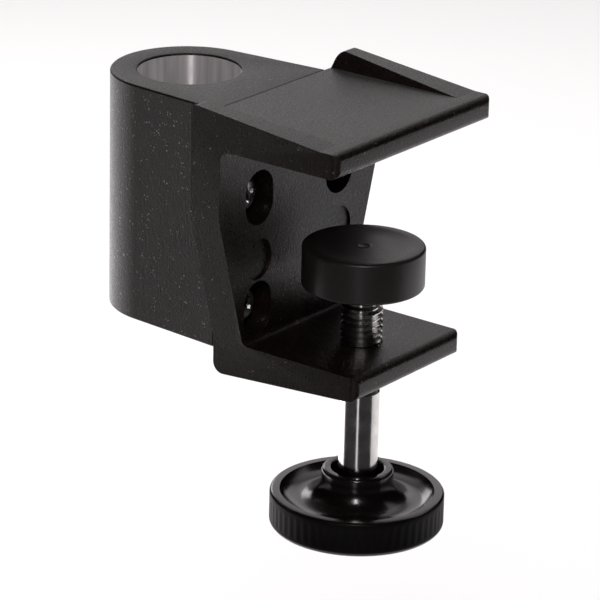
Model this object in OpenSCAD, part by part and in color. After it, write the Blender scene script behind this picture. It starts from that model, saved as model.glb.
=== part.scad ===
// Desk-edge clamp with a vertical post socket.
// A cast C-bracket hooks over the desk's edge. A cast block with a bore for a post is screwed
// to its back. A screw spindle with a round knob presses a swivel pad up under the desk top.
// The origin is on the post's axis, at the top face of the block. +X runs out along the jaws.

/* [Post socket] */
// Diameter of the bore that takes the post
post_d = 25; // [20:0.5:30]
// Wall of the barrel around the post
socket_wall = 6.5; // [4:0.5:8]
// Distance from the post's axis to the bracket's back face
post_offset = 25; // [22:0.5:32]
// Width of the block, and of the bracket's foot, where they line up
block_w = 42; // [35:0.5:51]
// How far the block reaches below the foot's upper face
block_below_foot = 2.5; // [1:0.5:5]

/* [Bracket] */
// Width across the top plate
bracket_w = 61; // [50:1:74]
// Thickness of the top plate
top_t = 6; // [5:0.25:8]
// Thickness of the upright web
web_t = 8.8; // [7.5:0.1:11]
// Depth of the jaw, from the web to the free edges of both plates
jaw_depth = 33.2; // [27.5:0.1:42]
// Height of the jaw, from the foot to the underside of the top plate
jaw_gap = 50.5; // [42:0.5:62]
// Thickness of the foot where it leaves the web
foot_root_t = 8.8; // [7:0.1:11]
// Thickness of the foot at its free edge
foot_tip_t = 5.9; // [4.5:0.1:7]
// Depth below the top at which the web's sides start to slope in
flare_drop = 23; // [19:0.5:28]
// Radius of the free corners of both plates
corner_r = 2; // [1:0.25:4]
// Radius along the bracket's lowest back edge
toe_r = 3; // [1.5:0.25:4]
// Fillet between the web and each plate
fillet_r = 1.5; // [0.5:0.25:3]

/* [Side ribs on the top plate] */
// Height of each rib at the bracket's back
rib_h = 3.8; // [3:0.1:5]
// Width of each rib at its base
rib_base_w = 7.5; // [6:0.25:9]
// Width of each rib across its top at the back
rib_top_w = 4; // [2.5:0.25:5]
// Distance from the plate's free edge at which the ribs run out
rib_run_out = 5; // [2:0.5:8]
// Radius of the raised back corner of each rib
rib_corner_r = 2; // [1:0.25:2.5]

/* [Block screws] */
// Thread diameter of the four screws that hold the block
screw_d = 5; // [4:0.5:6]
// Length of each screw under its head
screw_len = 14; // [12:1:16]
// Diameter of the screw heads
head_d = 9; // [7.5:0.25:10.75]
// Height of the screw heads
head_h = 2.9; // [2.4:0.1:3.5]
// Web left under the screw heads
seat_t = 2.2; // [1.5:0.1:3.5]
// Distance from each screw's axis to the block's flank
screw_edge = 5.5; // [4.5:0.25:6.5]
// Distance of the upper screws below the top plate
upper_row_drop = 15; // [13:0.5:18]
// Height of the lower screws above the foot
lower_row_rise = 8; // [7.5:0.25:9.5]
// How far a screw can shift along its slot
slot_travel = 3; // [1:0.5:4]

/* [Blank pockets in the web] */
// Diameter of the two blank pockets
pocket_d = 10; // [8:0.5:12]
// Depth of the blank pockets
pocket_depth = 0.6; // [0.3:0.1:1.5]
// How far the pockets sit below the middle of the two screw rows
pocket_drop = 1.5; // [0:0.25:3]

/* [Spindle] */
// Outer diameter of the spindle's thread
thread_d = 10; // [8:0.5:12]
// Thread that is left below the foot, by which the spindle can still be raised
thread_left = 5.2; // [2:0.1:7]
// Distance from the web to the spindle's axis
spindle_reach = 19.2; // [16:0.1:24]
// Thickness of desk that the jaw is set to
desk_t = 26.2; // [21:0.1:32]
// Diameter of the plain shank under the thread
shank_d = 9.5; // [7.5:0.1:11.5]
// Length of the plain shank
shank_len = 25.1; // [20:0.1:31]
// Diameter of the plain neck between the thread and the pad
neck_d = 8.2; // [6.8:0.1:8.6]
// Length of the neck that shows under the pad
neck_len = 4.2; // [3:0.1:6]
// Diameter of the end that sits in the knob's bush
tang_d = 8; // [6.5:0.1:9]

/* [Swivel pad] */
// Diameter of the pad
pad_d = 29.2; // [24:0.1:36]
// Thickness of the pad over the end of the spindle
pad_floor = 1.2; // [0.9:0.1:2]
// Thickness of the lip that keeps the snap ring in the pad
lip_t = 1.3; // [1:0.1:1.8]
// Depth of the dish in the pad's face
pad_dish = 0.4; // [0.2:0.1:0.8]
// Width of the flat rim around the dish
pad_rim = 3; // [2:0.25:5]
// Radius of the pad's edges
pad_edge_r = 0.8; // [0.4:0.1:1.5]
// Room around the neck that lets the pad tilt
tilt_room = 0.5; // [0.4:0.05:0.8]
// Thickness of the snap ring's wire
ring_wire = 1.2; // [1:0.1:1.5]
// Depth of the snap ring's groove in the neck
ring_groove = 0.5; // [0.4:0.05:0.7]

/* [Knob] */
// Diameter of the knob
knob_d = 42; // [35:0.5:51]
// Height of the knob's rim
knob_h = 8.8; // [7.5:0.1:11]
// Radius of the knob's lower edge
knob_edge_r = 1.5; // [0.75:0.25:2.5]
// Width of the raised crest around the knob's face
crest_w = 2.4; // [1.5:0.1:4]
// Depth of the dish between the crest and the hub
dish_depth = 2; // [1.5:0.1:3]
// Diameter of the hub
hub_d = 17.2; // [15.5:0.1:20.5]
// Height of the hub above the rim
hub_rise = 5.8; // [5:0.1:7]
// Diameter of the recess in the hub
hub_recess_d = 12.4; // [11.5:0.1:14.5]
// Depth of the recess in the hub
hub_recess_depth = 4.9; // [4:0.1:6]
// Diameter of the steel bush moulded into the knob
bush_d = 11.6; // [10:0.1:13.5]
// Length of the steel bush
bush_len = 7.5; // [6:0.1:8.25]

/* [Hidden] */
$fn = 96;

thread_fit = 0.05;    // radial clearance of the spindle in the foot
screw_fit = 0.02;     // radial clearance of the block screws in their tapped holes
bush_fit = 0.02;      // radial clearance of the moulded-in bush and of the spindle's end in it
shaft_room = 0.5;     // room around a screw's shaft in its slot
head_room = 1.4;      // room around a screw's head in its slot
head_edge_r = 1.6;    // rounding of a screw's head
nose_gap = 0.3;       // gap over the spindle's rounded nose
ring_fit = 0.1;       // gap between the snap ring and its groove in the neck
ring_swing = 0.5;     // room around the ring in the pad that lets the pad tilt
nose_collar = 1.1;    // neck between the snap ring's groove and the start of the rounded nose
tap_drill_run = 1.2;  // depth of each tapped hole past its screw
recess_w = 1;         // width of the slots of a cross recess
recess_depth = 1.6;   // depth of a cross recess
recess_reach = 5;     // length of the slots of a cross recess
hub_edge_r = 0.8;     // rounding of the knob's upper edges
flank_bite = 0.01;    // how far the block's flanks cut into the barrel, so that the two fuse
slack = 1;            // how far a cut runs past the face that it starts from

barrel_r = post_d / 2 + socket_wall;
web_in = post_offset + web_t;
tip_x = web_in + jaw_depth;
foot_z = -top_t - jaw_gap;
bottom_z = foot_z - foot_root_t;
socket_h = top_t + jaw_gap + block_below_foot;

screw_y = block_w / 2 - screw_edge;
upper_row_z = -top_t - upper_row_drop;
lower_row_z = foot_z + lower_row_rise;
pocket_z = (upper_row_z + lower_row_z) / 2 - pocket_drop;
seat_x = post_offset + seat_t;

spindle_x = web_in + spindle_reach;
foot_slope = (foot_root_t - foot_tip_t) / (tip_x - post_offset);
foot_under_z = bottom_z + foot_slope * (spindle_x - post_offset);

neck_r = neck_d / 2;
ring_above_lip = ring_swing + ring_wire / 2;
nose_above_ring = ring_wire / 2 + ring_fit + nose_collar;
pad_h = lip_t + ring_above_lip + nose_above_ring + neck_r + nose_gap + pad_floor + pad_dish;

pad_top_z = -top_t - desk_t;
pad_z = pad_top_z - pad_h;
ring_z = pad_z + lip_t + ring_above_lip;
nose_z = ring_z + nose_above_ring;     // centre of the rounded nose, about which the pad tilts
ring_r = neck_r - ring_groove + ring_fit + ring_wire / 2;

thread_z = pad_z - neck_len;
shank_z = foot_under_z - thread_left;
shoulder_z = shank_z - shank_len;
hub_z = shoulder_z + hub_recess_depth;
rim_z = hub_z - hub_rise;

// What is cut from an upright corner that points to +X +Y, to leave a radius of r.
module corner_cut(r, h) {
    translate([-r, -r, -slack])
        difference() {
            cube([r + slack, r + slack, h + 2 * slack]);
            translate([0, 0, -slack]) cylinder(r = r, h = h + 4 * slack);
        }
}

// The same for a flat outline, about a corner at the origin that points to +X +Y.
module corner_cut_2d(r) {
    translate([-r, -r])
        difference() {
            square(r + slack);
            circle(r);
        }
}

// A fillet in the angle of two walls that lie along +X and +Y.
module fillet_2d(r) {
    difference() {
        square(r);
        translate([r, r]) circle(r);
    }
}

// A slot with round ends that runs up and down, cut along +X from the origin.
module upright_slot(width, travel, depth) {
    rotate([0, 90, 0])
        linear_extrude(depth)
            union() {
                square([travel, width], center = true);
                for (end = [-1, 1]) translate([end * travel / 2, 0]) circle(d = width);
            }
}

// Puts its children at each of the four screws' axes, at x = 0.
module at_screws() {
    for (side = [-1, 1], z = [upper_row_z, lower_row_z]) translate([0, side * screw_y, z]) children();
}

// The bracket's outline seen from the side, in X and Z.
module bracket_side() {
    difference() {
        union() {
            translate([post_offset, -top_t]) square([tip_x - post_offset, top_t]);
            translate([post_offset, bottom_z]) square([web_t, -bottom_z]);
            polygon([[post_offset, foot_z], [tip_x, foot_z],
                     [tip_x, foot_z - foot_tip_t], [post_offset, bottom_z]]);
            translate([web_in, foot_z]) fillet_2d(fillet_r);
            translate([web_in, -top_t]) mirror([0, 1]) fillet_2d(fillet_r);
        }
        translate([post_offset, bottom_z]) rotate(180) corner_cut_2d(toe_r);
    }
}

// The bracket's outline seen from the jaws' free end, in Y and Z.
module bracket_front() {
    polygon([[-bracket_w / 2, slack], [bracket_w / 2, slack], [bracket_w / 2, -flare_drop],
             [block_w / 2, foot_z], [block_w / 2, bottom_z - slack],
             [-block_w / 2, bottom_z - slack], [-block_w / 2, foot_z], [-bracket_w / 2, -flare_drop]]);
}

// The rib along the +Y edge of the top plate. It falls to nothing towards the free edge.
module side_rib() {
    intersection() {
        rotate([90, 0, 0])
            linear_extrude(2 * bracket_w, center = true)
                difference() {
                    polygon([[post_offset, -top_t / 2], [post_offset, rib_h],
                             [tip_x - rib_run_out, 0], [tip_x - rib_run_out, -top_t / 2]]);
                    translate([post_offset, rib_h]) rotate(90) corner_cut_2d(rib_corner_r);
                }
        rotate([90, 0, 90])
            linear_extrude(2 * tip_x)
                polygon([[bracket_w / 2, -top_t / 2], [bracket_w / 2, rib_h],
                         [bracket_w / 2 - rib_top_w, rib_h], [bracket_w / 2 - rib_base_w, 0],
                         [bracket_w / 2 - rib_base_w, -top_t / 2]]);
    }
}

module c_bracket() {
    color([0.20, 0.19, 0.19])
        difference() {
            union() {
                intersection() {
                    rotate([90, 0, 0]) linear_extrude(2 * bracket_w, center = true) bracket_side();
                    rotate([90, 0, 90]) linear_extrude(2 * tip_x) bracket_front();
                }
                for (side = [0, 1]) mirror([0, side, 0]) side_rib();
            }
            for (side = [0, 1]) mirror([0, side, 0]) {
                translate([tip_x, bracket_w / 2, -top_t]) corner_cut(corner_r, top_t);
                translate([tip_x, block_w / 2, bottom_z]) corner_cut(corner_r, foot_root_t);
            }
            at_screws() {
                translate([post_offset - slack, 0, 0])
                    upright_slot(screw_d + shaft_room, slot_travel, web_t + 2 * slack);
                translate([seat_x, 0, 0]) upright_slot(head_d + head_room, slot_travel, web_t);
            }
            for (side = [-1, 1])
                translate([web_in - pocket_depth, side * screw_y, pocket_z])
                    rotate([0, 90, 0]) cylinder(d = pocket_d, h = pocket_depth + slack);
            translate([spindle_x, 0, bottom_z - slack])
                cylinder(r = thread_d / 2 + thread_fit, h = foot_root_t + 2 * slack);
        }
}

// The block's flanks from above. Each touches the round barrel and runs to the bracket's back.
module block_flanks() {
    touch_r = barrel_r - flank_bite;
    corner = norm([post_offset, block_w / 2]);
    touch_a = atan2(block_w / 2, post_offset) + acos(touch_r / corner);
    touch = touch_r * [cos(touch_a), sin(touch_a)];
    polygon([[0, 0], touch, [post_offset, block_w / 2], [post_offset, -block_w / 2],
             [touch.x, -touch.y]]);
}

module socket_block() {
    tap_depth = screw_len - seat_t + tap_drill_run;
    color([0.24, 0.23, 0.23])
        difference() {
            translate([0, 0, -socket_h])
                union() {
                    cylinder(r = barrel_r, h = socket_h);
                    linear_extrude(socket_h) block_flanks();
                }
            translate([0, 0, -socket_h - slack]) cylinder(d = post_d, h = socket_h + 2 * slack);
            at_screws()
                translate([post_offset - tap_depth, 0, 0])
                    rotate([0, 90, 0]) cylinder(r = screw_d / 2 + screw_fit, h = tap_depth + slack);
        }
}

// A pan-head screw with a cross recess. Its head sits on x = 0 and its shaft runs to -X.
module pan_head_screw() {
    rotate([0, 90, 0])
        difference() {
            rotate_extrude() {
                translate([0, -screw_len]) square([screw_d / 2, screw_len]);
                difference() {
                    square([head_d / 2, head_h]);
                    translate([head_d / 2, head_h]) corner_cut_2d(head_edge_r);
                }
            }
            for (turn = [0, 90])
                rotate(turn)
                    translate([-recess_reach / 2, -recess_w / 2, head_h - recess_depth])
                        cube([recess_reach, recess_w, recess_depth + slack]);
        }
}

module block_screws() {
    color([0.80, 0.80, 0.82])
        at_screws() translate([seat_x, 0, 0]) pan_head_screw();
}

module clamp_spindle() {
    color([0.75, 0.74, 0.74])
        translate([spindle_x, 0, 0])
            rotate_extrude()
                difference() {
                    union() {
                        translate([0, shoulder_z - bush_len]) square([tang_d / 2, bush_len + slack]);
                        translate([0, shoulder_z]) square([shank_d / 2, shank_len + slack]);
                        translate([0, shank_z]) square([thread_d / 2, thread_z - shank_z]);
                        translate([0, thread_z - slack]) square([neck_r, nose_z - thread_z + slack]);
                        translate([0, nose_z])
                            intersection() {
                                circle(neck_r);
                                translate([0, -neck_r]) square([neck_r, 2 * neck_r]);
                            }
                    }
                    translate([neck_r - ring_groove, ring_z - ring_wire / 2 - ring_fit])
                        square([ring_groove + slack, ring_wire + 2 * ring_fit]);
                }
}

module swivel_pad() {
    socket_r = neck_r + tilt_room;
    groove_r = ring_r + ring_wire / 2 + ring_swing;
    color([0.14, 0.13, 0.13])
        translate([spindle_x, 0, 0])
            rotate_extrude()
                difference() {
                    translate([0, pad_z]) square([pad_d / 2, pad_h]);
                    translate([pad_d / 2, pad_top_z]) corner_cut_2d(pad_edge_r);
                    translate([pad_d / 2, pad_z]) mirror([0, 1]) corner_cut_2d(pad_edge_r);
                    translate([0, pad_top_z - pad_dish]) square([pad_d / 2 - pad_rim, pad_dish + slack]);
                    translate([0, pad_z - slack]) square([socket_r, nose_z - pad_z + slack]);
                    translate([0, nose_z])
                        intersection() {
                            circle(neck_r + nose_gap);
                            square(pad_h);
                        }
                    translate([0, ring_z - ring_wire / 2 - ring_swing])
                        square([groove_r, ring_wire + 2 * ring_swing]);
                }
}

module pad_snap_ring() {
    opening = ring_wire;
    color([0.62, 0.62, 0.64])
        translate([spindle_x, 0, ring_z])
            difference() {
                rotate_extrude() translate([ring_r, 0]) circle(d = ring_wire);
                translate([0, -opening / 2, -ring_wire])
                    cube([ring_r + ring_wire, opening, 2 * ring_wire]);
            }
}

// The groove between the crest and the hub is round in section. It meets the crest's inner
// edge, sinks to dish_depth below the rim, and rises upright against the hub.
module knob() {
    crest_r = knob_d / 2 - crest_w;
    hub_r = hub_d / 2;
    span = crest_r - hub_r;
    groove_r = span + dish_depth - sqrt(2 * span * dish_depth);
    groove_x = hub_r + groove_r;
    color([0.08, 0.07, 0.07])
        translate([spindle_x, 0, 0])
            rotate_extrude()
                difference() {
                    union() {
                        translate([0, rim_z - knob_h]) square([knob_d / 2, knob_h]);
                        translate([0, rim_z - knob_h]) square([groove_x, knob_h + groove_r - dish_depth]);
                        translate([0, rim_z]) square([hub_r, hub_rise]);
                    }
                    translate([groove_x, rim_z + groove_r - dish_depth]) circle(groove_r);
                    translate([knob_d / 2, rim_z]) corner_cut_2d(hub_edge_r);
                    translate([knob_d / 2, rim_z - knob_h]) mirror([0, 1]) corner_cut_2d(knob_edge_r);
                    translate([hub_r, hub_z]) corner_cut_2d(hub_edge_r);
                    translate([0, shoulder_z]) square([hub_recess_d / 2, hub_recess_depth + slack]);
                    translate([0, shoulder_z - bush_len]) square([bush_d / 2 + bush_fit, bush_len + slack]);
                }
}

module knob_bush() {
    color([0.66, 0.60, 0.42])
        translate([spindle_x, 0, shoulder_z - bush_len])
            difference() {
                cylinder(d = bush_d, h = bush_len);
                translate([0, 0, -slack]) cylinder(r = tang_d / 2 + bush_fit, h = bush_len + 2 * slack);
            }
}

c_bracket();
socket_block();
block_screws();
clamp_spindle();
swivel_pad();
pad_snap_ring();
knob();
knob_bush();
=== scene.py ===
# A desk-edge clamp with a vertical post socket: a cast bracket with a cast block on its back,
# four pan-head screws, and a plated screw spindle with a moulded swivel pad and knob.
# Shapes are drawn in millimetres in the CAD frame: post axis at x = y = 0, +X along the jaws.
from math import cos, pi, radians, sin, sqrt, tan

import bmesh
import bpy
from mathutils import Matrix, Vector


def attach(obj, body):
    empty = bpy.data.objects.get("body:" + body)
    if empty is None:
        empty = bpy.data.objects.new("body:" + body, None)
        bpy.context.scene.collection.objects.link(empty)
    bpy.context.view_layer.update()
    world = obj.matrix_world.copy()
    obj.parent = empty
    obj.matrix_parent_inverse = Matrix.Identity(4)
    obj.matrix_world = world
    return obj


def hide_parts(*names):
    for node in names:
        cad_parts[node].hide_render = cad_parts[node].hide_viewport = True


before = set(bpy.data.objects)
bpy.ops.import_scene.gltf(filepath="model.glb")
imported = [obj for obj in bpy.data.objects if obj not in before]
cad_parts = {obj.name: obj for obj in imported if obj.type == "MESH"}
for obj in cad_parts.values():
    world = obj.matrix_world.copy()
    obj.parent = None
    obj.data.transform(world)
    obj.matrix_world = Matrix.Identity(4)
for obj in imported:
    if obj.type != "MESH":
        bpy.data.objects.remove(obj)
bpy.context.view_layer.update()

# C-bracket: one aluminium die casting with a flat top plate, an upright web and a tapered foot,
# which grip the desk. Two low ribs along the top plate's sides fade towards the front. The web
# has four sunk slots for the block's screws and two blank pockets, and the foot is tapped.
web_back, web_front, jaw_tip = 25.0, 33.8, 67.0
top_half_width, foot_half_width = 30.5, 21.0
plate_under, foot_top, foot_tip_under, foot_root_under = -6.0, -56.5, -62.4, -65.3
flare_start = -23.0
rib_inner, rib_top_inner, rib_height, rib_end = 23.0, 26.5, 3.8, 62.0
screw_side, screw_rows, screw_seat = 15.5, (-21.0, -48.5), 27.2
slot_radius, seat_radius, slot_travel = 2.75, 5.2, 3.0
pocket_row, pocket_radius, pocket_depth = -36.25, 5.0, 0.6
spindle_axis, spindle_hole_radius = Vector((53.0, 0, 0)), 5.05
# Turns a shape so that its own Z points along +X, and its own Y upwards.
facing_front = Matrix(((0, 0, 1, 0), (1, 0, 0, 0), (0, 1, 0, 0), (0, 0, 0, 1)))


def near(value, target):
    return abs(value - target) < 0.01


def edges_where(shape, test):
    """The edges whose two ends both pass a test."""
    return [e for e in shape.edges if all(test(v.co) for v in e.verts)]


def verts_in(geometry):
    """The vertices in what an operator returns."""
    return [part for part in geometry if isinstance(part, bmesh.types.BMVert)]


def everything(shape):
    """A shape's vertices, edges and faces, as an operator takes them."""
    return shape.verts[:] + shape.edges[:] + shape.faces[:]


def round_off(shape, edges, radius, segments):
    """Rolls edges over, or fills them in where they lie in a corner, to a radius."""
    bmesh.ops.bevel(shape, geom=edges, offset=radius, offset_type="OFFSET", segments=segments,
                    profile=0.5, affect="EDGES", material=-1, clamp_overlap=True)


def carve(shape, tools):
    """Cuts closed tool shapes out of a closed shape."""
    made = []
    for source in (shape, tools):
        bmesh.ops.recalc_face_normals(source, faces=source.faces)
        mesh = bpy.data.meshes.new("carving")
        source.to_mesh(mesh)
        made.append(bpy.data.objects.new("carving", mesh))
        bpy.context.scene.collection.objects.link(made[-1])
    cut = made[0].modifiers.new("cut", "BOOLEAN")
    cut.object, cut.operation, cut.solver = made[1], "DIFFERENCE", "EXACT"
    result = made[0].evaluated_get(bpy.context.evaluated_depsgraph_get()).to_mesh()
    shape.clear()
    shape.from_mesh(result)
    for piece in made:
        mesh = piece.data
        bpy.data.objects.remove(piece)
        bpy.data.meshes.remove(mesh)
    tools.free()


def finish_piece(shape, name, node, body, slot, *materials, edge=0.0):
    """Makes a shape the visible piece for a CAD node. edge is the radius of its small edges."""
    bmesh.ops.remove_doubles(shape, verts=shape.verts, dist=0.002)
    bmesh.ops.dissolve_degenerate(shape, edges=shape.edges, dist=0.001)
    bmesh.ops.recalc_face_normals(shape, faces=shape.faces)
    bmesh.ops.scale(shape, vec=(0.001, 0.001, 0.001), verts=shape.verts)
    for face in shape.faces:
        face.smooth = True
    mesh = bpy.data.meshes.new(name)
    shape.to_mesh(mesh)
    shape.free()
    mesh.set_sharp_from_angle(angle=radians(28))
    for material in materials:
        mesh.materials.append(material)
    piece = bpy.data.objects.new(name, mesh)
    bpy.context.scene.collection.objects.link(piece)
    if edge:
        rolled = piece.modifiers.new("small_edges", "BEVEL")
        rolled.width, rolled.segments, rolled.limit_method = edge / 1000, 3, "ANGLE"
        rolled.angle_limit, rolled.harden_normals, rolled.material = radians(28), True, 0
    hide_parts(node)
    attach(piece, body)
    return piece


def linear(hex_colour):
    """An sRGB hex colour as the linear colour that a shader takes."""
    channels = [int(hex_colour[i:i + 2], 16) / 255 for i in (1, 3, 5)]
    return [c / 12.92 if c <= 0.04045 else ((c + 0.055) / 1.055) ** 2.4 for c in channels] + [1]


def new_material(name):
    """An empty material with its output, and its node tree."""
    material = bpy.data.materials.new(name)
    material.use_nodes = True
    material.node_tree.nodes.clear()
    return material, material.node_tree


def add(tree, kind, inputs=None, **settings):
    """Adds a node with its settings. An input is a value, or another node's output to link."""
    node = tree.nodes.new("ShaderNode" + kind)
    for name, value in settings.items():
        setattr(node, name, value)
    for name, value in (inputs or {}).items():
        if isinstance(value, bpy.types.NodeSocket):
            tree.links.new(value, node.inputs[name])
        else:
            node.inputs[name].default_value = value
    return node


# Powder coat, charcoal black on die-cast aluminium: the eye sees a dull skin with a 0.5 mm
# grain, cloudy patches and scattered flecks that catch the light.
def charcoal_coat(name, grain_depth, least_rough, most_rough, fleck_reach):
    """A powder coat. A coarser one is rougher, with deeper grain and larger flecks."""
    material, tree = new_material(name)
    place = add(tree, "TexCoord").outputs["Object"]
    grain = add(tree, "TexNoise", {"Vector": place, "Scale": 1 / 0.0005, "Detail": 3.0,
                                   "Roughness": 0.6})
    flecks = add(tree, "TexVoronoi", {"Vector": place, "Scale": 1 / 0.0008, "Randomness": 1.0})
    thinned = add(tree, "TexNoise", {"Vector": place, "Scale": 1 / 0.0021, "Detail": 2.0})
    scattered = add(tree, "Math", {0: flecks.outputs["Distance"], 1: thinned.outputs["Fac"]},
                    operation="ADD")
    fleck_mask = add(tree, "ValToRGB", {"Fac": scattered.outputs["Value"]})
    fleck_mask.color_ramp.elements[0].position = fleck_reach - 0.12
    fleck_mask.color_ramp.elements[0].color = (1, 1, 1, 1)
    fleck_mask.color_ramp.elements[1].position = fleck_reach
    fleck_mask.color_ramp.elements[1].color = (0, 0, 0, 1)
    clouds = add(tree, "TexNoise", {"Vector": place, "Scale": 1 / 0.004, "Detail": 4.0})
    shade = add(tree, "ValToRGB", {"Fac": clouds.outputs["Fac"]})
    shade.color_ramp.elements[0].position = 0.35
    shade.color_ramp.elements[0].color = linear("#110907")
    shade.color_ramp.elements[1].position = 0.7
    shade.color_ramp.elements[1].color = linear("#180e0b")
    flecked = add(tree, "MixRGB", {"Fac": fleck_mask.outputs["Color"],
                                   "Color1": shade.outputs["Color"],
                                   "Color2": linear("#6a6260")})
    skin = add(tree, "Bump", {"Height": grain.outputs["Fac"], "Strength": grain_depth,
                              "Distance": 0.00025})
    sheen = add(tree, "MapRange", {"Value": grain.outputs["Fac"], "From Min": 0.3,
                                   "From Max": 0.7, "To Min": least_rough,
                                   "To Max": most_rough})
    coat = add(tree, "BsdfPrincipled", {"Base Color": flecked.outputs["Color"],
                                        "Roughness": sheen.outputs["Result"],
                                        "Normal": skin.outputs["Normal"], "IOR": 1.45,
                                        "Specular IOR Level": 0.45})
    add(tree, "OutputMaterial", {"Surface": coat.outputs["BSDF"]})
    return material


smooth_coat = charcoal_coat("fine_texture_powder_coat", 0.5, 0.22, 0.44, 0.58)

bracket = bmesh.new()
side_outline = ((web_back, 0), (jaw_tip, 0), (jaw_tip, plate_under), (web_front, plate_under),
                (web_front, foot_top), (jaw_tip, foot_top), (jaw_tip, foot_tip_under),
                (web_back, foot_root_under))
side = bracket.faces.new([bracket.verts.new((x, -top_half_width, z)) for x, z in side_outline])
swept = bmesh.ops.extrude_face_region(bracket, geom=[side])["geom"]
bmesh.ops.translate(bracket, vec=(0, 2 * top_half_width, 0), verts=verts_in(swept))
for height in (flare_start, foot_top):
    bmesh.ops.bisect_plane(bracket, geom=everything(bracket), dist=0.001,
                           plane_co=(0, 0, height), plane_no=(0, 0, 1))
for vert in bracket.verts:
    if vert.co.z < foot_top + 0.01:
        vert.co.y *= foot_half_width / top_half_width

for hand in (-1, 1):
    rib_bounds = ((0, hand * rib_inner, 0), (0, 1, 0)), ((rib_end, 0, 0), (1, 0, 0))
    for plane_co, plane_no in rib_bounds:
        top = [f for f in bracket.faces if all(near(v.co.z, 0) for v in f.verts)]
        around = {v for f in top for v in f.verts} | {e for f in top for e in f.edges}
        bmesh.ops.bisect_plane(bracket, geom=list(around) + top, dist=0.001,
                               plane_co=plane_co, plane_no=plane_no)
    strip = [f for f in bracket.faces if all(near(v.co.z, 0) for v in f.verts)
             and hand * f.calc_center_median().y > rib_inner
             and f.calc_center_median().x < rib_end]
    raised = bmesh.ops.extrude_face_region(bracket, geom=strip)["geom"]
    for vert in verts_in(raised):
        if near(vert.co.x, web_back):
            vert.co.z = rib_height
            if near(vert.co.y, hand * rib_inner):
                vert.co.y = hand * rib_top_inner
    bmesh.ops.remove_doubles(bracket, verts=bracket.verts, dist=0.001)
bmesh.ops.dissolve_limit(bracket, angle_limit=radians(0.5), verts=bracket.verts,
                         edges=bracket.edges)
bmesh.ops.recalc_face_normals(bracket, faces=bracket.faces)

round_off(bracket, edges_where(bracket, lambda p: near(p.x, jaw_tip) and p.z > flare_start
                               and near(abs(p.y), top_half_width)), 2.0, 6)
round_off(bracket, edges_where(bracket, lambda p: near(p.x, jaw_tip) and p.z < flare_start
                               and near(abs(p.y), foot_half_width)), 2.0, 6)
round_off(bracket, edges_where(bracket, lambda p: near(p.x, web_back)
                               and near(p.z, foot_root_under)), 3.0, 8)
for corner in (plate_under, foot_top):
    round_off(bracket, edges_where(bracket, lambda p: near(p.x, web_front)
                                   and near(p.z, corner)), 1.5, 6)
round_off(bracket, edges_where(bracket, lambda p: near(p.x, web_back)
                               and near(p.z, rib_height)), 2.0, 6)


def slot_tool(tools, start, side, height, radius, travel, depth):
    """A tool for a slot with round ends that runs up and down, cut along +X from start."""
    half_step = Matrix.Rotation(radians(3.75), 4, "Z")
    ring = bmesh.ops.create_circle(tools, cap_ends=True, radius=radius, segments=48,
                                   matrix=half_step)["verts"]
    for vert in ring:
        vert.co.y += travel / 2 if vert.co.y > 0 else -travel / 2
    bmesh.ops.transform(tools, verts=ring,
                        matrix=Matrix.Translation((start, side, height)) @ facing_front)
    face = ring[0].link_faces[0]
    pushed = bmesh.ops.extrude_face_region(tools, geom=[face])["geom"]
    bmesh.ops.translate(tools, vec=(depth, 0, 0), verts=verts_in(pushed))


for start, radius, depth in ((web_back - 1, slot_radius, 3.5), (screw_seat, seat_radius, 8.0)):
    drill = bmesh.new()
    for hand in (-1, 1):
        for row in screw_rows:
            slot_tool(drill, start, hand * screw_side, row, radius, slot_travel, depth)
    carve(bracket, drill)
drill = bmesh.new()
for hand in (-1, 1):
    slot_tool(drill, web_front - pocket_depth, hand * screw_side, pocket_row, pocket_radius,
              0.0, 2.0)
bmesh.ops.create_cone(drill, cap_ends=True, segments=64, radius1=spindle_hole_radius,
                      radius2=spindle_hole_radius, depth=20,
                      matrix=Matrix.Translation(spindle_axis + Vector((0, 0, -60))))
carve(bracket, drill)
finish_piece(bracket, "cast_bracket", "c_bracket", "clamp", "bracket_coat", smooth_coat,
             edge=0.55)

# Socket block: a second aluminium die casting with the same coat, screwed to the bracket's back.
# Its flanks run off a round barrel, and the post's bore through it is reamed after coating, so
# the bore's wall is bare bright metal.
barrel, bore, block_height, block_half_width = 19.0, 12.5, 59.0, 21.0
touch_x = -0.86  # where the flanks leave the barrel
mouth_round = 0.5

# Powder coat, charcoal black, sprayed thicker: the same skin with a coarser sparkle.
coarse_coat = charcoal_coat("coarse_texture_powder_coat", 0.6, 0.32, 0.46, 0.64)

# Aluminium, bare, bored and reamed: rings too fine to see run round the wall, so that it
# reflects as a tall blur, with upright streaks where a light catches it.
bare_aluminium, tree = new_material("reamed_bare_aluminium")
place = add(tree, "TexCoord").outputs["Object"]
# Its colour is painted with upright light streaks, noise stretched along the bore, which stand in
# for streaked reflections; the pale tone itself is the bare metal's own.
painted_streak_stretch = add(tree, "Mapping", {"Vector": place, "Scale": (1 / 0.0025, 1 / 0.0025, 1 / 0.03)})
lines = add(tree, "TexNoise", {"Vector": painted_streak_stretch.outputs["Vector"], "Scale": 1.0, "Detail": 3.0})
mottle = add(tree, "TexNoise", {"Vector": place, "Scale": 1 / 0.0012, "Detail": 2.0})
tone = add(tree, "ValToRGB", {"Fac": lines.outputs["Fac"]})
tone.color_ramp.elements[0].position = 0.3
tone.color_ramp.elements[0].color = linear("#bab6b7")
tone.color_ramp.elements[1].position = 0.7
tone.color_ramp.elements[1].color = linear("#ebe6e7")
wear = add(tree, "MapRange", {"Value": mottle.outputs["Fac"], "From Min": 0.3, "From Max": 0.7,
                              "To Min": 0.40, "To Max": 0.48})
round_axis = add(tree, "VectorMath", {0: (0, 0, 1), 1: place}, operation="CROSS_PRODUCT")
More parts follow.
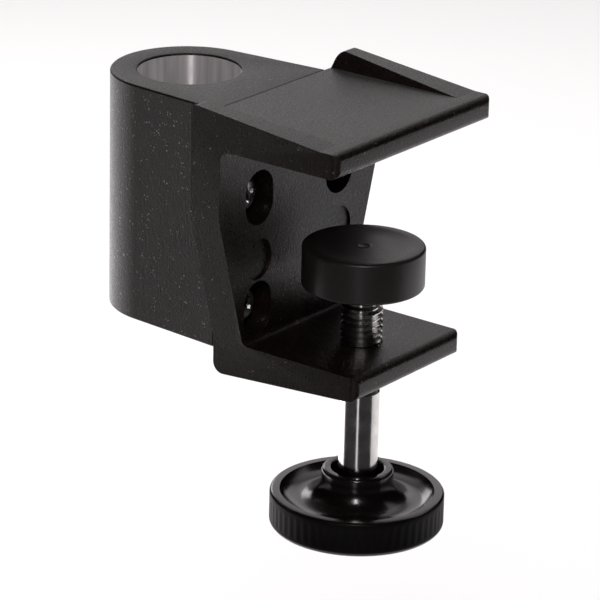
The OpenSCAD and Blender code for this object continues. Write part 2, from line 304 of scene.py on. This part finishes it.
metal = add(tree, "BsdfPrincipled", {"Base Color": tone.outputs["Color"], "Metallic": 0.5,
                                     "Roughness": wear.outputs["Result"], "Anisotropic": 1.0,
                                     "Anisotropic Rotation": 0.25,
                                     "Tangent": round_axis.outputs["Vector"]})
add(tree, "OutputMaterial", {"Surface": metal.outputs["BSDF"]})


def lathe(shape, outline, axis, steps):
    """Spins a half-outline of (radius, height) points a full turn round an upright axis."""
    verts = [shape.verts.new((axis.x + r, axis.y, z)) for r, z in outline]
    edges = [shape.edges.new(pair) for pair in zip(verts, verts[1:])]
    bmesh.ops.spin(shape, geom=verts + edges, cent=axis, axis=(0, 0, 1), angle=2 * pi,
                   steps=steps, use_merge=True, use_duplicate=False)
    bmesh.ops.remove_doubles(shape, verts=shape.verts, dist=0.0005)


def arc(centre, radius, start, end, count):
    """Points of a half-outline along an arc, from one angle to another in degrees."""
    return [(centre[0] + radius * cos(radians(start + (end - start) * i / count)),
             centre[1] + radius * sin(radians(start + (end - start) * i / count)))
            for i in range(count + 1)]


block = bmesh.new()
bmesh.ops.create_circle(block, cap_ends=True, radius=barrel, segments=128)
bmesh.ops.bisect_plane(block, geom=everything(block), dist=0.001, plane_co=(touch_x, 0, 0),
                       plane_no=(1, 0, 0), clear_outer=True)
chord = edges_where(block, lambda p: near(p.x, touch_x))
grown = bmesh.ops.extrude_edge_only(block, edges=chord)["geom"]
for vert in verts_in(grown):
    vert.co.x = web_back
    vert.co.y = block_half_width if vert.co.y > 0 else -block_half_width
bmesh.ops.dissolve_edges(block, edges=edges_where(block, lambda p: near(p.x, touch_x)))
lifted = bmesh.ops.extrude_face_region(block, geom=block.faces[:])["geom"]
bmesh.ops.translate(block, vec=(0, 0, -block_height), verts=verts_in(lifted))
drill = bmesh.new()
mouth = bore + mouth_round
lathe(drill, [(0, -block_height - 1), (mouth, -block_height - 1)]
      + arc((mouth, mouth_round - block_height), mouth_round, 270, 180, 4)
      + arc((mouth, -mouth_round), mouth_round, 180, 90, 4) + [(mouth, 1), (0, 1)],
      Vector((0, 0, 0)), 96)
carve(block, drill)
for face in block.faces:
    if all(near(v.co.xy.length, bore) for v in face.verts) and len(face.verts) < 8:
        face.material_index = 1
finish_piece(block, "cast_socket_block", "socket_block", "clamp", "block_coat", coarse_coat,
             bare_aluminium, edge=0.5)

# Block screws: four M5 pan-head screws with cross recesses, cold-headed steel, zinc plated.
# They sit in the web's sunk slots and pull the block against the bracket's back.
head_radius, head_height, screw_radius, screw_length = 4.5, 2.9, 2.5, 14.0
recess_depth, recess_turns = 1.7, (12, 57, -25, 33)

# Zinc plate, bright, on steel: a cool silver skin with a faint cloudiness.
zinc_plate, tree = new_material("bright_zinc_plated_steel")
place = add(tree, "TexCoord").outputs["Object"]
clouding = add(tree, "TexNoise", {"Vector": place, "Scale": 1 / 0.0015, "Detail": 4.0})
tone = add(tree, "ValToRGB", {"Fac": clouding.outputs["Fac"]})
tone.color_ramp.elements[0].position = 0.3
tone.color_ramp.elements[0].color = linear("#b9b8bb")
tone.color_ramp.elements[1].position = 0.7
tone.color_ramp.elements[1].color = linear("#dcdadb")
wear = add(tree, "MapRange", {"Value": clouding.outputs["Fac"], "From Min": 0.3, "From Max": 0.7,
                              "To Min": 0.16, "To Max": 0.28})
metal = add(tree, "BsdfPrincipled", {"Base Color": tone.outputs["Color"], "Metallic": 1.0,
                                     "Roughness": wear.outputs["Result"]})
add(tree, "OutputMaterial", {"Surface": metal.outputs["BSDF"]})

screws = bmesh.new()
for index, (hand, row) in enumerate(((s, r) for s in (-1, 1) for r in screw_rows)):
    one = bmesh.new()
    lathe(one, [(0, -screw_length), (2.1, -screw_length), (screw_radius, -screw_length + 0.6),
                (screw_radius, 0), (head_radius - 0.3, 0)]
          + arc((head_radius - 0.3, 0.3), 0.3, -90, 0, 3) + [(head_radius, 1.2)]
          + arc((2.8, 1.2), 1.7, 0, 90, 8) + [(0, head_height)], Vector((0, 0, 0)), 48)
    for turn in (0, 90):
        recess = bmesh.new()
        blade = bmesh.ops.create_cube(recess, size=1.0)["verts"]
        for vert in blade:
            low = vert.co.z < 0
            vert.co.x *= 2.2 if low else 5.0
            vert.co.y *= 0.7 if low else 1.05
            vert.co.z = head_height - recess_depth if low else head_height + 0.2
        bmesh.ops.rotate(recess, verts=blade, matrix=Matrix.Rotation(radians(turn), 3, "Z"))
        carve(one, recess)
    turned = Matrix.Rotation(radians(recess_turns[index]), 4, "Z")
    onto = Matrix.Translation((screw_seat, hand * screw_side, row)) @ facing_front
    bmesh.ops.transform(one, verts=one.verts, matrix=onto @ turned)
    spare = bpy.data.meshes.new("screw")
    one.to_mesh(spare)
    one.free()
    screws.from_mesh(spare)
    bpy.data.meshes.remove(spare)
finish_piece(screws, "pan_head_screws", "block_screws", "clamp", "screw_plating", zinc_plate,
             edge=0.12)

# Spindle: a steel rod with a rolled M10 by 1.5 thread, turned down to a plain shank towards the
# knob and to a neck with a rounded nose in the pad. Bright zinc plated all over.
thread_radius, root_radius, pitch = 5.0, 4.1, 1.5
nose_z, thread_top, thread_bottom, shoulder, tang_end = -38.2, -46.6, -68.567, -93.667, -101.167

# Zinc plate on turned steel: the same plating over fine lines left round the rod by the tool,
# drawn 0.4 mm apart, which is coarser than real ones, so that they show.
plated_rod, tree = new_material("zinc_plated_turned_steel")
place = add(tree, "TexCoord").outputs["Object"]
around = add(tree, "Mapping", {"Vector": place, "Scale": (1 / 0.02, 1 / 0.02, 1 / 0.0004)})
turning = add(tree, "TexNoise", {"Vector": around.outputs["Vector"], "Scale": 1.0, "Detail": 2.0})
blotch = add(tree, "TexNoise", {"Vector": place, "Scale": 1 / 0.003, "Detail": 3.0})
tone = add(tree, "ValToRGB", {"Fac": blotch.outputs["Fac"]})
tone.color_ramp.elements[0].position = 0.3
tone.color_ramp.elements[0].color = linear("#c2bfbf")
tone.color_ramp.elements[1].position = 0.7
tone.color_ramp.elements[1].color = linear("#e0dcdc")
wear = add(tree, "MapRange", {"Value": blotch.outputs["Fac"], "From Min": 0.3, "From Max": 0.7,
                              "To Min": 0.14, "To Max": 0.22})
lines = add(tree, "Bump", {"Height": turning.outputs["Fac"], "Strength": 0.06,
                           "Distance": 0.00005})
from_axis = add(tree, "VectorMath", {0: place, 1: (0.053, 0, 0)}, operation="SUBTRACT")
round_axis = add(tree, "VectorMath", {0: (0, 0, 1), 1: from_axis.outputs["Vector"]},
                 operation="CROSS_PRODUCT")
turned = add(tree, "VectorTransform", {"Vector": round_axis.outputs["Vector"]},
             vector_type="VECTOR", convert_from="OBJECT", convert_to="WORLD")
metal = add(tree, "BsdfPrincipled", {"Base Color": tone.outputs["Color"], "Metallic": 1.0,
                                     "Roughness": wear.outputs["Result"], "Anisotropic": 0.2,
                                     "Anisotropic Rotation": 0.25,
                                     "Tangent": turned.outputs["Vector"],
                                     "Normal": lines.outputs["Normal"]})
add(tree, "OutputMaterial", {"Surface": metal.outputs["BSDF"]})

spindle = bmesh.new()
steps_per_turn = 64
turns = int((thread_top - thread_bottom) / pitch) + 3
start_z = thread_bottom - pitch
tooth = [(root_radius, 0), (root_radius, 0.19), (thread_radius - 0.02, 0.68),
         (thread_radius - 0.02, 0.87), (root_radius, 1.36), (root_radius, 1.5)]
wire = [spindle.verts.new((spindle_axis.x + r, 0, start_z + z)) for r, z in tooth]
ribbon = [spindle.edges.new(pair) for pair in zip(wire, wire[1:])]
bmesh.ops.spin(spindle, geom=wire + ribbon, cent=spindle_axis, axis=(0, 0, 1),
               dvec=(0, 0, pitch / steps_per_turn), angle=2 * pi * turns,
               steps=steps_per_turn * turns, use_duplicate=False)
bmesh.ops.remove_doubles(spindle, verts=spindle.verts, dist=0.005)
for height, away in ((thread_bottom, -1), (thread_top, 1)):
    trimmed = bmesh.ops.bisect_plane(spindle, geom=everything(spindle), dist=0.0005,
                                     plane_co=(0, 0, height), plane_no=(0, 0, away),
                                     clear_outer=True)["geom_cut"]
    rim = [part for part in trimmed if isinstance(part, bmesh.types.BMEdge)]
    bmesh.ops.holes_fill(spindle, edges=rim, sides=0)
for vert in spindle.verts:  # the thread's ends taper to its root over one tooth's depth
    out = vert.co.copy() - spindle_axis
    out.z = 0
    room = min(thread_top - vert.co.z, vert.co.z - thread_bottom)
    limit = root_radius + 0.05 + max(room, 0)
    if out.length > limit:
        vert.co.x = spindle_axis.x + out.x * limit / out.length
        vert.co.y = out.y * limit / out.length
lathe(spindle, [(0, thread_top - 0.3), (4.1, thread_top - 0.3), (4.1, -40.7), (3.6, -40.65),
                (3.6, -39.35), (4.1, -39.3)] + arc((0, nose_z), 4.1, 0, 90, 12),
      spindle_axis, 96)
lathe(spindle, [(0, tang_end), (3.7, tang_end), (4.0, tang_end + 0.3), (4.0, shoulder),
                (4.5, shoulder), (4.75, shoulder + 0.25), (4.75, thread_bottom - 0.4),
                (4.35, thread_bottom), (0, thread_bottom)], spindle_axis, 96)
finish_piece(spindle, "screw_spindle", "clamp_spindle", "spindle", "spindle_plating", plated_rod)

# Swivel pad: a thick moulded disc that snaps over the spindle's nose and stays still on the desk
# while the spindle turns. Satin black plastic, its face slightly dished inside a flat rim.
pad_radius, pad_bottom, pad_top, pad_round = 14.6, -42.4, -32.2, 0.8

# Polypropylene, moulded, satin: fine spark-eroded grain gives a soft broad sheen.
satin_plastic, tree = new_material("satin_moulded_polypropylene")
place = add(tree, "TexCoord").outputs["Object"]
grain = add(tree, "TexNoise", {"Vector": place, "Scale": 1 / 0.0004, "Detail": 2.0})
shade = add(tree, "ValToRGB", {"Fac": grain.outputs["Fac"]})
shade.color_ramp.elements[0].color = linear("#151111")
shade.color_ramp.elements[1].color = linear("#221d1c")
skin = add(tree, "Bump", {"Height": grain.outputs["Fac"], "Strength": 0.10,
                          "Distance": 0.0001})
rub = add(tree, "MapRange", {"Value": grain.outputs["Fac"], "From Min": 0.3, "From Max": 0.7,
                             "To Min": 0.34, "To Max": 0.44})
plastic = add(tree, "BsdfPrincipled", {"Base Color": shade.outputs["Color"],
                                       "Roughness": rub.outputs["Result"],
                                       "Normal": skin.outputs["Normal"], "IOR": 1.49})
add(tree, "OutputMaterial", {"Surface": plastic.outputs["BSDF"]})

pad = bmesh.new()
lathe(pad, arc((0, nose_z), 4.4, 90, 0, 12)
      + [(4.6, nose_z), (4.6, -38.9), (5.4, -38.9), (5.4, -41.1), (4.6, -41.1), (4.6, pad_bottom)]
      + arc((pad_radius - pad_round, pad_bottom + pad_round), pad_round, -90, 0, 6)
      + arc((pad_radius - pad_round, pad_top - pad_round), pad_round, 0, 90, 6)
      + [(11.9, pad_top), (11.4, pad_top - 0.14), (7.0, pad_top - 0.30), (2.0, pad_top - 0.40),
         (1.7, pad_top - 0.40), (1.5, pad_top - 0.32), (1.3, pad_top - 0.40), (0, pad_top - 0.40)],
      spindle_axis, 128)
finish_piece(pad, "swivel_pad_moulding", "swivel_pad", "pad", "pad_plastic", satin_plastic)

# Snap ring: a split ring of round spring wire in the neck's groove, which keeps the pad on.
# It can't be seen with the pad in place, so the CAD ring is shown as it is, in oiled wire.
spring_wire, tree = new_material("oiled_spring_steel_wire")
place = add(tree, "TexCoord").outputs["Object"]
film = add(tree, "TexNoise", {"Vector": place, "Scale": 1 / 0.001, "Detail": 2.0})
tone = add(tree, "ValToRGB", {"Fac": film.outputs["Fac"]})
tone.color_ramp.elements[0].color = linear("#55565c")
tone.color_ramp.elements[1].color = linear("#8b8c92")
metal = add(tree, "BsdfPrincipled", {"Base Color": tone.outputs["Color"], "Metallic": 1.0,
                                     "Roughness": 0.32})
add(tree, "OutputMaterial", {"Surface": metal.outputs["BSDF"]})
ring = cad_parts["pad_snap_ring"]
ring.data.materials.clear()
ring.data.materials.append(spring_wire)

# Knob: a round hand knob compression-moulded in black phenolic, with a raised crest, a dished
# face that sweeps up into a hub, and fine upright grip ribs round its rim.
knob_rim, knob_radius, knob_height, hub_radius = -94.567, 21.0, 8.8, 8.6
crest_round, dish_drop, recess_floor = 0.8, 2.0, shoulder - 7.5
rib_count, rib_depth = 60, 0.12

# Phenolic, compression moulded, polished tool: nearly black with a hard glassy gloss.
glossy_phenolic, tree = new_material("glossy_black_phenolic")
place = add(tree, "TexCoord").outputs["Object"]
flow = add(tree, "TexNoise", {"Vector": place, "Scale": 1 / 0.006, "Detail": 2.0})
dust = add(tree, "TexNoise", {"Vector": place, "Scale": 1 / 0.0005, "Detail": 2.0})
shade = add(tree, "ValToRGB", {"Fac": flow.outputs["Fac"]})
shade.color_ramp.elements[0].color = linear("#080505")
shade.color_ramp.elements[1].color = linear("#110d0c")
gloss = add(tree, "MapRange", {"Value": dust.outputs["Fac"], "From Min": 0.3, "From Max": 0.7,
                               "To Min": 0.16, "To Max": 0.24})
ripple = add(tree, "Bump", {"Height": flow.outputs["Fac"], "Strength": 0.05,
                            "Distance": 0.0003})
plastic = add(tree, "BsdfPrincipled", {"Base Color": shade.outputs["Color"],
                                       "Roughness": gloss.outputs["Result"],
                                       "Normal": ripple.outputs["Normal"], "IOR": 1.6})
add(tree, "OutputMaterial", {"Surface": plastic.outputs["BSDF"]})

# Phenolic, spark-eroded on the rim: the same plastic, dull and hardly reflecting, with painted
# shade darkening it.
dull_shaded_phenolic, tree = new_material("spark_eroded_phenolic_painted_shade")
place = add(tree, "TexCoord").outputs["Object"]
pits = add(tree, "TexNoise", {"Vector": place, "Scale": 1 / 0.0004, "Detail": 2.0})
shade = add(tree, "ValToRGB", {"Fac": pits.outputs["Fac"]})
# Painted shade: the rim's colour is about half as bright as the glossy face's, to keep the knob's
# side black.
shade.color_ramp.elements[0].color = linear("#040202")
shade.color_ramp.elements[1].color = linear("#090505")
skin = add(tree, "Bump", {"Height": pits.outputs["Fac"], "Strength": 0.15, "Distance": 0.0001})
plastic = add(tree, "BsdfPrincipled", {"Base Color": shade.outputs["Color"], "Roughness": 0.55,
                                       "Normal": skin.outputs["Normal"], "IOR": 1.6,
                                       "Specular IOR Level": 0.1})
add(tree, "OutputMaterial", {"Surface": plastic.outputs["BSDF"]})

knob = bmesh.new()
crest = knob_radius - 2.4
span = crest - hub_radius
dish_radius = span + dish_drop - sqrt(2 * span * dish_drop)
dish_x = hub_radius + dish_radius
outline = [(0, -knob_height), (19.5, -knob_height)] + arc((19.5, -7.3), 1.5, -90, 0, 6) \
    + [(knob_radius, -6.9), (knob_radius, -6.5), (knob_radius, -2.1), (knob_radius, -1.7)] \
    + arc((knob_radius - crest_round, -crest_round), crest_round, 0, 90, 5) \
    + arc((dish_x, dish_radius - dish_drop), dish_radius, -40.4, -180, 22) \
    + arc((7.8, 5.0), 0.8, 0, 90, 6) + arc((6.8, 5.2), 0.6, 90, 180, 4) \
    + [(6.2, 0.9), (5.82, 0.9), (5.82, recess_floor - knob_rim), (0, recess_floor - knob_rim)]
lathe(knob, [(r, knob_rim + z) for r, z in outline], spindle_axis, rib_count * 8)
for vert in knob.verts:
    rise = vert.co.z - knob_rim
    out = vert.co - spindle_axis
    out.z = 0
    if -6.6 < rise < -2.0 and out.length > knob_radius - 0.1:
        turn = out.angle(Vector((1, 0, 0)))
        dip = 1 - rib_depth * (0.5 - 0.5 * cos(turn * rib_count)) / out.length
        vert.co.x, vert.co.y = spindle_axis.x + out.x * dip, out.y * dip
for face in knob.faces:
    if all((v.co - spindle_axis).xy.length > knob_radius - 0.2 for v in face.verts):
        face.material_index = 1
finish_piece(knob, "hand_knob", "knob", "spindle", "knob_plastic", glossy_phenolic, dull_shaded_phenolic)

# Knob bush: the turned steel sleeve moulded into the knob, which grips the spindle's end.
# Only its upper end can be seen, deep in the hub's recess, so the CAD bush is shown as it is.
turned_bush, tree = new_material("turned_steel_bush")
place = add(tree, "TexCoord").outputs["Object"]
around = add(tree, "Mapping", {"Vector": place, "Scale": (1 / 0.02, 1 / 0.02, 1 / 0.0003)})
turning = add(tree, "TexNoise", {"Vector": around.outputs["Vector"], "Scale": 1.0})
tone = add(tree, "ValToRGB", {"Fac": turning.outputs["Fac"]})
tone.color_ramp.elements[0].color = linear("#77767a")
tone.color_ramp.elements[1].color = linear("#a9a8ab")
metal = add(tree, "BsdfPrincipled", {"Base Color": tone.outputs["Color"], "Metallic": 1.0,
                                     "Roughness": 0.35})
add(tree, "OutputMaterial", {"Surface": metal.outputs["BSDF"]})
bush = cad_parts["knob_bush"]
bush.data.materials.clear()
bush.data.materials.append(turned_bush)

# Studio: a plain pale floor well below the clamp, an even surround that reflections don't see,
# and soft boxes, most of them behind and to the sides, so that long reflections draw the coat.
floor_z = -0.45
pale_paint, tree = new_material("matt_pale_floor_paint")
paint = add(tree, "BsdfPrincipled", {"Base Color": (0.88, 0.88, 0.88, 1), "Roughness": 0.9})
add(tree, "OutputMaterial", {"Surface": paint.outputs["BSDF"]})
ground = bmesh.new()
bmesh.ops.create_grid(ground, x_segments=1, y_segments=1, size=8.0,
                      matrix=Matrix.Translation((0, 0, floor_z)))
mesh = bpy.data.meshes.new("floor")
ground.to_mesh(mesh)
ground.free()
mesh.materials.append(pale_paint)
floor = bpy.data.objects.new("floor", mesh)
bpy.context.scene.collection.objects.link(floor)

surround = bpy.data.worlds.new("dim_surround")
surround.use_nodes = True
surround.node_tree.nodes["Background"].inputs["Color"].default_value = (1, 1, 1, 1)
surround.node_tree.nodes["Background"].inputs["Strength"].default_value = 0.40
surround.cycles_visibility.glossy = False
bpy.context.scene.world = surround
bpy.context.scene.view_settings.view_transform = "Standard"

azimuth, elevation, roll = radians(36.94), radians(20.52), radians(1.31)
towards = Vector((cos(elevation) * sin(azimuth), -cos(elevation) * cos(azimuth), sin(elevation)))
level = Vector((cos(azimuth), sin(azimuth), 0))
upright = towards.cross(level)
ahead = Vector((sin(azimuth), -cos(azimuth), 0))
aim = Vector((0.01749, 0.02277, -0.06135))
lamp_tint = (1.0, 0.955, 0.965)


def soft_box(name, bearing, distance, height, size, radiance, down=False, spread=179.9):
    """A soft box at a bearing round the clamp, which is 0 on the camera's side and grows to the
    right. It faces the clamp, or straight down at the floor. A grid narrows its spread, and
    the radiance is what it shows along its axis, whatever the spread."""
    lamp = bpy.data.lights.new(name, "AREA")
    lamp.shape, lamp.size, lamp.size_y = "RECTANGLE", size[0], size[1]
    lamp.color = lamp_tint
    half = radians(spread) / 2
    lamp.energy = radiance * pi * size[0] * size[1] * (1 - half / tan(half))
    lamp.spread = radians(spread)
    box = bpy.data.objects.new(name, lamp)
    spot = aim + (ahead * cos(radians(bearing)) + level * sin(radians(bearing))) * distance
    spot.z += height
    facing = Vector((0, 0, 1)) if down else spot - aim
    box.matrix_world = Matrix.LocRotScale(spot, facing.to_track_quat("Z", "Y"), None)
    bpy.context.scene.collection.objects.link(box)


soft_box("back_floor_box", 180, 1.4, 1.1, (1.8, 1.8), 2.0, down=True, spread=120)
soft_box("right_floor_box", 112, 1.3, 0.6, (1.3, 1.3), 2.8, down=True, spread=110)
soft_box("left_floor_box", -138, 1.3, 0.6, (1.2, 1.2), 1.3, down=True, spread=110)
soft_box("back_box", 174, 1.7, 0.55, (1.0, 0.75), 0.95)
soft_box("back_left_box", -162, 1.5, 0.42, (0.5, 0.45), 3.0)
soft_box("left_low_box", -140, 0.8, -0.28, (0.62, 0.2), 2.3)
soft_box("left_side_box", -103, 0.8, -0.28, (0.34, 0.2), 2.4)
soft_box("front_strip_box", -6, 0.8, -0.18, (0.05, 0.36), 1.3)
soft_box("front_high_box", -3, 1.2, 0.9, (0.08, 0.5), 45.0)

# Black flags: two curved cards on the floor in front of the clamp, with a slit for the strip
# box between them. Only reflections see them, and they keep the middle of the metal dark.
black_card, tree = new_material("matt_black_card")
card_skin = add(tree, "BsdfPrincipled", {"Base Color": (0.055, 0.055, 0.055, 1), "Roughness": 1.0,
                                         "Specular IOR Level": 0.0})
add(tree, "OutputMaterial", {"Surface": card_skin.outputs["BSDF"]})
card_reach, card_foot, card_top = 0.45, floor_z + 0.001, -0.06
for name, first, last in (("left_flag", -83, -11), ("right_flag", -1, 72)):
    card = bmesh.new()
    start = aim + (ahead * cos(radians(first)) + level * sin(radians(first))) * card_reach
    stave = [card.verts.new((start.x, start.y, z)) for z in (card_foot, card_top)]
    bmesh.ops.spin(card, geom=stave + [card.edges.new(stave)], cent=aim, axis=(0, 0, 1),
                   angle=radians(last - first), steps=24, use_duplicate=False)
    mesh = bpy.data.meshes.new(name)
    card.to_mesh(mesh)
    card.free()
    mesh.materials.append(black_card)
    flag = bpy.data.objects.new(name, mesh)
    flag.visible_camera = flag.visible_diffuse = flag.visible_shadow = False
    bpy.context.scene.collection.objects.link(flag)

lens = bpy.data.cameras.new("camera")
lens.lens, lens.sensor_width, lens.clip_start = 223.1, 36.0, 0.01
camera = bpy.data.objects.new("camera", lens)
right = level * cos(roll) + upright * sin(roll)
up = upright * cos(roll) - level * sin(roll)
turn = Matrix((right, up, towards)).transposed()
camera.matrix_world = Matrix.Translation(aim + towards * 0.9177) @ turn.to_4x4()
bpy.context.scene.collection.objects.link(camera)
bpy.context.scene.camera = camera
